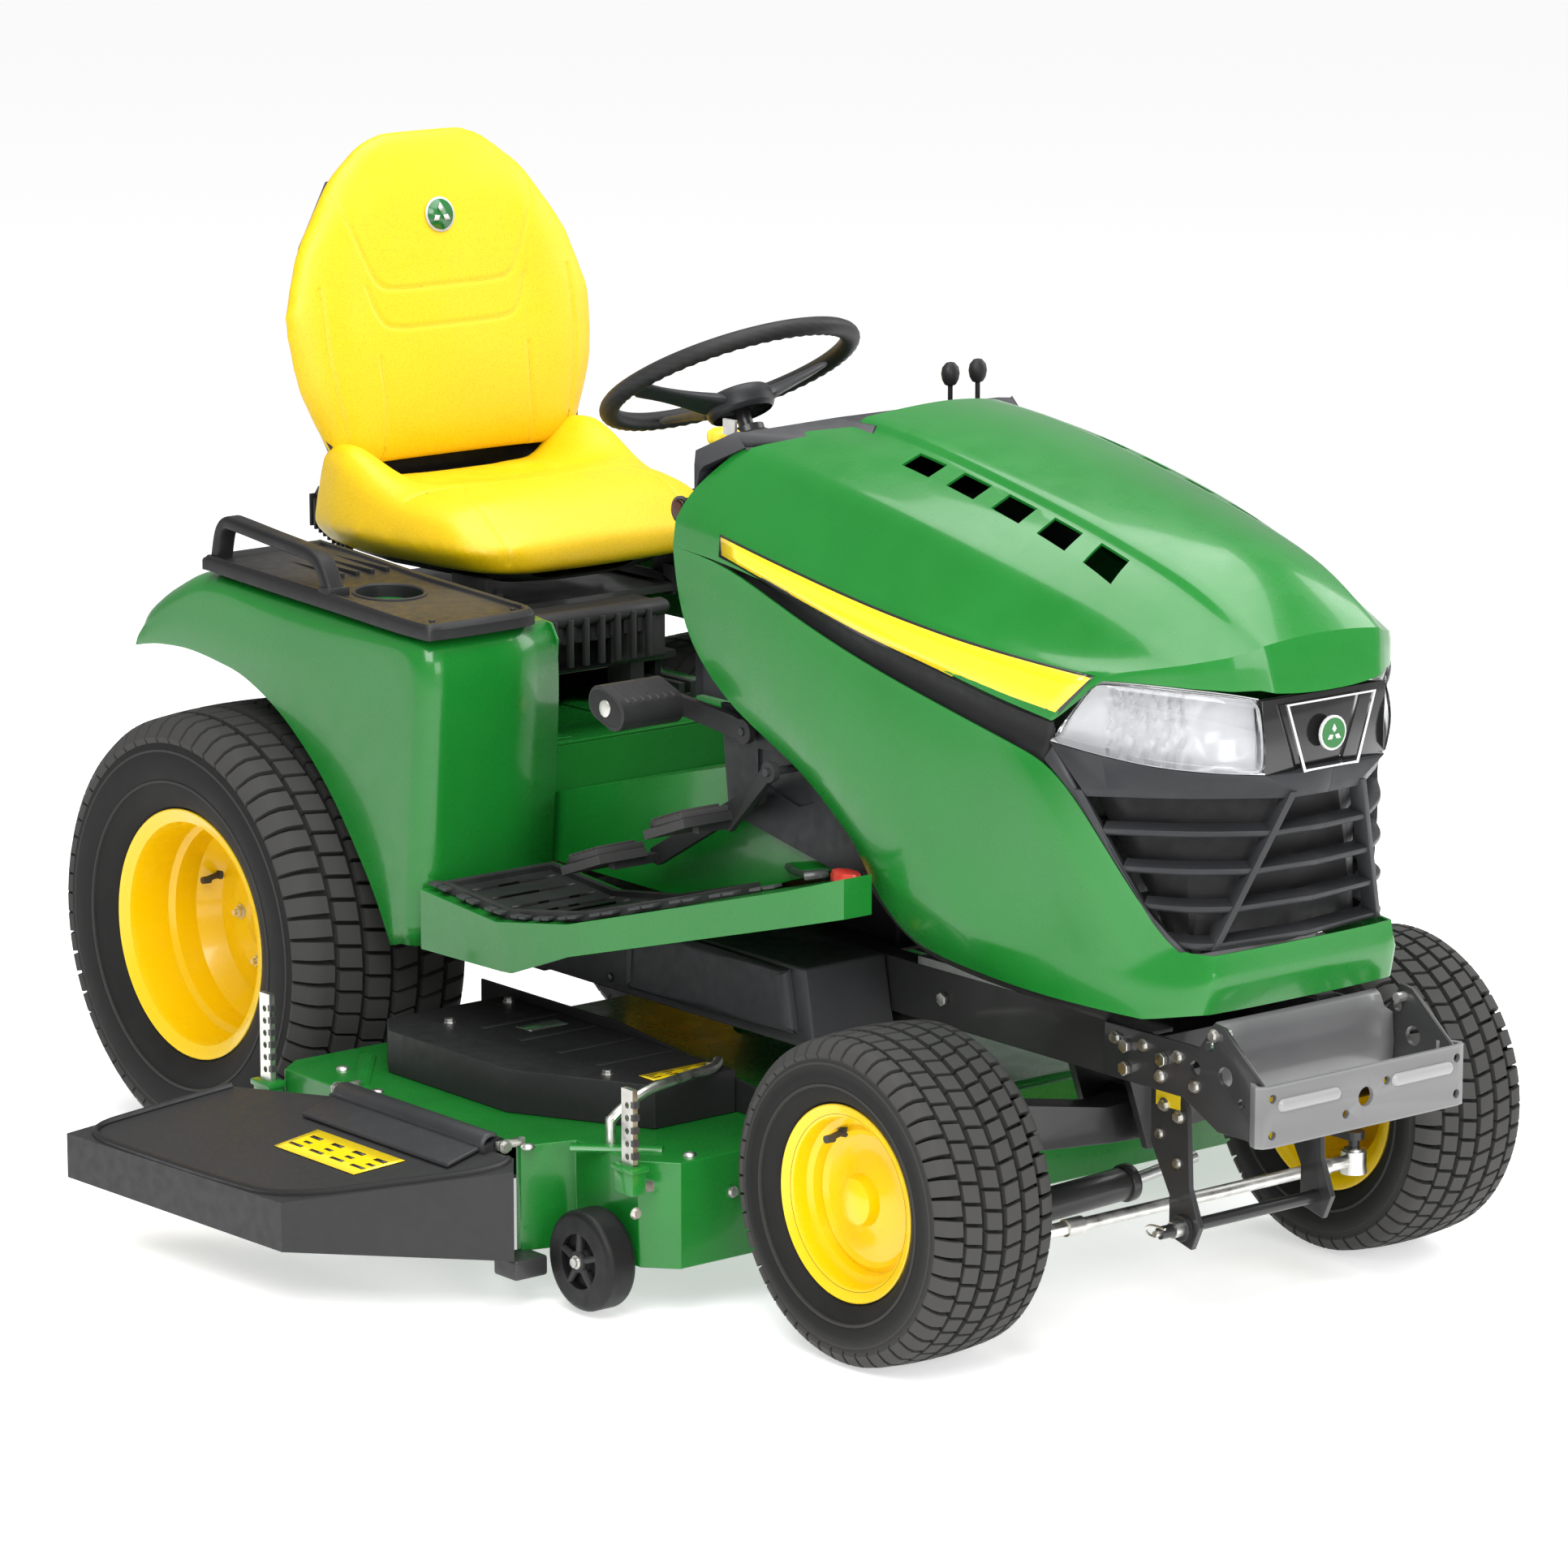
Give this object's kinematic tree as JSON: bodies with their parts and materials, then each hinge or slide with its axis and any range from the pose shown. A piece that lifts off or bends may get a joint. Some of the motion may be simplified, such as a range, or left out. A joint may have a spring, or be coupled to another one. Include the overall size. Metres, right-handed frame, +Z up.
{
  "type": "riding lawn mower",
  "caption": "Garden tractor mower with hinged hood, steered front axle, tilting column, sliding seat, lifting side-discharge deck with hinged chute, pedals and rolling wheels.",
  "frame": {"origin": "middle of the bounding box, on the ground under the tyres", "axes": "+Z up, -Y towards the hood and front wheels, -X towards the discharge chute on the operator's right"},
  "size_m": [1.674, 1.986, 1.3235],
  "materials": {
    "green_paint": "glossy green enamel on steel and moulded covers",
    "yellow_paint": "glossy yellow enamel on pressed steel rims",
    "yellow_vinyl": "soft yellow vinyl over foam",
    "tyre_rubber": "matt black turf tyre rubber",
    "black_rubber": "matt ribbed rubber",
    "black_plastic": "fine-grained black moulded plastic",
    "grey_plastic": "fine-grained dark grey moulded plastic",
    "black_steel": "satin black coated steel",
    "grey_steel": "satin grey coated steel",
    "zinc_steel": "zinc-plated steel",
    "cast_alloy": "cast aluminium",
    "clear_lens": "clear moulded lens",
    "reflector": "bright fluted reflector",
    "red_lens": "clear red lens",
    "yellow_plastic": "smooth yellow plastic",
    "yellow_film": "glossy yellow film"
  },
  "bodies": {
    "chassis": {"frame_rails": "black_steel", "transaxle": "cast_alloy", "engine": "cast_alloy", "muffler": "grey_steel", "battery": "black_plastic", "side_tanks": "grey_plastic", "fender_deck": "green_paint", "fender_consoles": "black_plastic", "footrest": "green_paint", "foot_mats": "black_rubber", "dash_cowl": "grey_plastic", "column_panels": "grey_plastic", "front_hitch": "grey_steel", "hitch_bracket": "black_steel", "rear_hitch_plate": "black_steel", "seat_box": "black_plastic", "seat_rails": "black_steel", "tail_lenses": "red_lens", "frame_bolts": "zinc_steel"},
    "hood": {"hood_shell": "green_paint", "grille": "black_plastic", "headlight_lenses": "clear_lens", "headlight_reflectors": "reflector", "side_stripes": "yellow_film"},
    "front_axle": {"front_axle": "black_steel"},
    "knuckle_right": {"knuckle_right": "black_steel"},
    "knuckle_left": {"knuckle_left": "black_steel"},
    "tie_rod": {"tie_rod": "zinc_steel"},
    "rear_wheel_right": {"rear_tyre_right": "tyre_rubber", "rear_rim_right": "yellow_paint"},
    "rear_wheel_left": {"rear_tyre_left": "tyre_rubber", "rear_rim_left": "yellow_paint"},
    "front_wheel_right": {"front_tyre_right": "tyre_rubber", "front_rim_right": "yellow_paint"},
    "front_wheel_left": {"front_tyre_left": "tyre_rubber", "front_rim_left": "yellow_paint"},
    "column": {"steering_column": "black_steel"},
    "steering_wheel": {"steering_wheel": "grey_plastic"},
    "deck": {"deck_shell": "green_paint", "belt_covers": "black_plastic", "deck_hardware": "zinc_steel"},
    "blade_right": {"blade_spindle_right": "black_steel"},
    "blade_centre": {"blade_spindle_centre": "black_steel"},
    "blade_left": {"blade_spindle_left": "black_steel"},
    "chute": {"chute": "black_plastic"},
    "gauge_front_right": {"gauge_wheel_front_right": "black_plastic"},
    "gauge_front_left": {"gauge_wheel_front_left": "black_plastic"},
    "gauge_rear_right": {"gauge_wheel_rear_right": "black_plastic"},
    "gauge_rear_left": {"gauge_wheel_rear_left": "black_plastic"},
    "seat_base": {"seat_suspension": "black_steel"},
    "seat": {"seat_shell": "black_plastic", "seat_back": "yellow_vinyl", "seat_cushion": "yellow_vinyl"},
    "brake_pedal": {"brake_pedal": "black_rubber"},
    "forward_pedal": {"forward_pedal": "black_rubber"},
    "reverse_pedal": {"reverse_pedal": "black_rubber"},
    "pto_knob": {"pto_knob": "yellow_plastic"},
    "throttle_lever": {"throttle_lever": "grey_plastic"},
    "lift_lever": {"lift_lever": "grey_plastic"},
    "ignition_key": {"ignition_key": "zinc_steel"}
  },
  "joints": [
    {"name": "hood_hinge", "type": "hinge", "parent": "chassis", "child": "hood", "pos_m": [0.041, -0.899, 0.418], "axis": [1, 0, 0], "range_deg": [0, 65]},
    {"name": "axle_pivot", "type": "hinge", "parent": "chassis", "child": "front_axle", "pos_m": [0.041, -0.591, 0.235], "axis": [0, 1, 0], "range_deg": [-5, 5]},
    {"name": "steer_right", "type": "hinge", "parent": "front_axle", "child": "knuckle_right", "pos_m": [-0.221, -0.591, 0.202], "axis": [0, 0, 1], "range_deg": [-28.5, 28.5]},
    {"name": "steer_left", "type": "hinge", "parent": "front_axle", "child": "knuckle_left", "pos_m": [0.303, -0.591, 0.202], "axis": [0, 0, 1], "range_deg": [-28.5, 28.5]},
    {"name": "tie_rod_pivot", "type": "hinge", "parent": "knuckle_left", "child": "tie_rod", "pos_m": [0.303, -0.703, 0.152], "axis": [0, 0, 1], "range_deg": [-28.5, 28.5]},
    {"name": "front_right_roll", "type": "hinge", "parent": "knuckle_right", "child": "front_wheel_right", "pos_m": [-0.348, -0.591, 0.202], "axis": [1, 0, 0], "continuous": true},
    {"name": "front_left_roll", "type": "hinge", "parent": "knuckle_left", "child": "front_wheel_left", "pos_m": [0.43, -0.591, 0.202], "axis": [1, 0, 0], "continuous": true},
    {"name": "rear_right_roll", "type": "hinge", "parent": "chassis", "child": "rear_wheel_right", "pos_m": [-0.362, 0.697, 0.296], "axis": [1, 0, 0], "continuous": true},
    {"name": "rear_left_roll", "type": "hinge", "parent": "chassis", "child": "rear_wheel_left", "pos_m": [0.444, 0.697, 0.296], "axis": [1, 0, 0], "continuous": true},
    {"name": "column_tilt", "type": "hinge", "parent": "chassis", "child": "column", "pos_m": [0.041, 0.057, 0.8], "axis": [1, 0, 0], "range_deg": [-6, 6]},
    {"name": "steering_turn", "type": "hinge", "parent": "column", "child": "steering_wheel", "pos_m": [0.041, 0.204, 1.052], "axis": [0, 0.4772, 0.8788], "range_deg": [-280, 280]},
    {"name": "deck_lift", "type": "slide", "parent": "chassis", "child": "deck", "axis": [0, 0, 1], "range_m": [0, 0.075]},
    {"name": "blade_right_spin", "type": "hinge", "parent": "deck", "child": "blade_right", "pos_m": [-0.327, 0.087, 0.1], "axis": [0, 0, 1], "continuous": true},
    {"name": "blade_centre_spin", "type": "hinge", "parent": "deck", "child": "blade_centre", "pos_m": [0.121, -0.034, 0.1], "axis": [0, 0, 1], "continuous": true},
    {"name": "blade_left_spin", "type": "hinge", "parent": "deck", "child": "blade_left", "pos_m": [0.569, 0.087, 0.1], "axis": [0, 0, 1], "continuous": true},
    {"name": "chute_hinge", "type": "hinge", "parent": "deck", "child": "chute", "pos_m": [-0.587, 0.697, 0.204], "axis": [0, 1, 0], "range_deg": [0, 80]},
    {"name": "gauge_front_right_roll", "type": "hinge", "parent": "deck", "child": "gauge_front_right", "pos_m": [-0.524, -0.231, 0.071], "axis": [1, 0, 0], "continuous": true},
    {"name": "gauge_front_left_roll", "type": "hinge", "parent": "deck", "child": "gauge_front_left", "pos_m": [0.766, -0.231, 0.071], "axis": [1, 0, 0], "continuous": true},
    {"name": "gauge_rear_right_roll", "type": "hinge", "parent": "deck", "child": "gauge_rear_right", "pos_m": [-0.551, 0.443, 0.071], "axis": [1, 0, 0], "continuous": true},
    {"name": "gauge_rear_left_roll", "type": "hinge", "parent": "deck", "child": "gauge_rear_left", "pos_m": [0.793, 0.443, 0.071], "axis": [1, 0, 0], "continuous": true},
    {"name": "seat_slide", "type": "slide", "parent": "chassis", "child": "seat_base", "axis": [0, 1, 0], "range_m": [-0.05, 0.05]},
    {"name": "seat_tip", "type": "hinge", "parent": "seat_base", "child": "seat", "pos_m": [0.041, 0.517, 0.728], "axis": [1, 0, 0], "range_deg": [0, 40]},
    {"name": "brake_press", "type": "hinge", "parent": "chassis", "child": "brake_pedal", "pos_m": [0.041, -0.143, 0.672], "axis": [1, 0, 0], "range_deg": [-20, 0], "stiffness_Nm_per_rad": 15, "springref_deg": 20.05},
    {"name": "forward_press", "type": "hinge", "parent": "chassis", "child": "forward_pedal", "pos_m": [0.041, -0.183, 0.6], "axis": [1, 0, 0], "range_deg": [-5, 0], "stiffness_Nm_per_rad": 15, "springref_deg": 20.05},
    {"name": "reverse_press", "type": "hinge", "parent": "chassis", "child": "reverse_pedal", "pos_m": [0.041, -0.233, 0.64], "axis": [1, 0, 0], "range_deg": [-10, 0], "stiffness_Nm_per_rad": 10, "springref_deg": 20.05},
    {"name": "pto_pull", "type": "slide", "parent": "chassis", "child": "pto_knob", "axis": [0, 0, 1], "range_m": [0, 0.012]},
    {"name": "throttle_swing", "type": "hinge", "parent": "chassis", "child": "throttle_lever", "pos_m": [0.191, -0.058, 0.96], "axis": [1, 0, 0], "range_deg": [-18, 18]},
    {"name": "lift_swing", "type": "hinge", "parent": "chassis", "child": "lift_lever", "pos_m": [0.237, -0.058, 0.96], "axis": [1, 0, 0], "range_deg": [-18, 18]},
    {"name": "key_turn", "type": "hinge", "parent": "chassis", "child": "ignition_key", "pos_m": [-0.155, -0.041, 1], "axis": [0, 0, 1], "range_deg": [0, 60]}
  ],
  "couplings": [
    {"joint": "steer_right", "follows": "steering_turn", "ratio": 0.1},
    {"joint": "steer_left", "follows": "steering_turn", "ratio": 0.1},
    {"joint": "tie_rod_pivot", "follows": "steering_turn", "ratio": -0.1},
    {"joint": "blade_right_spin", "follows": "blade_centre_spin", "ratio": 1},
    {"joint": "blade_left_spin", "follows": "blade_centre_spin", "ratio": 1}
  ]
}
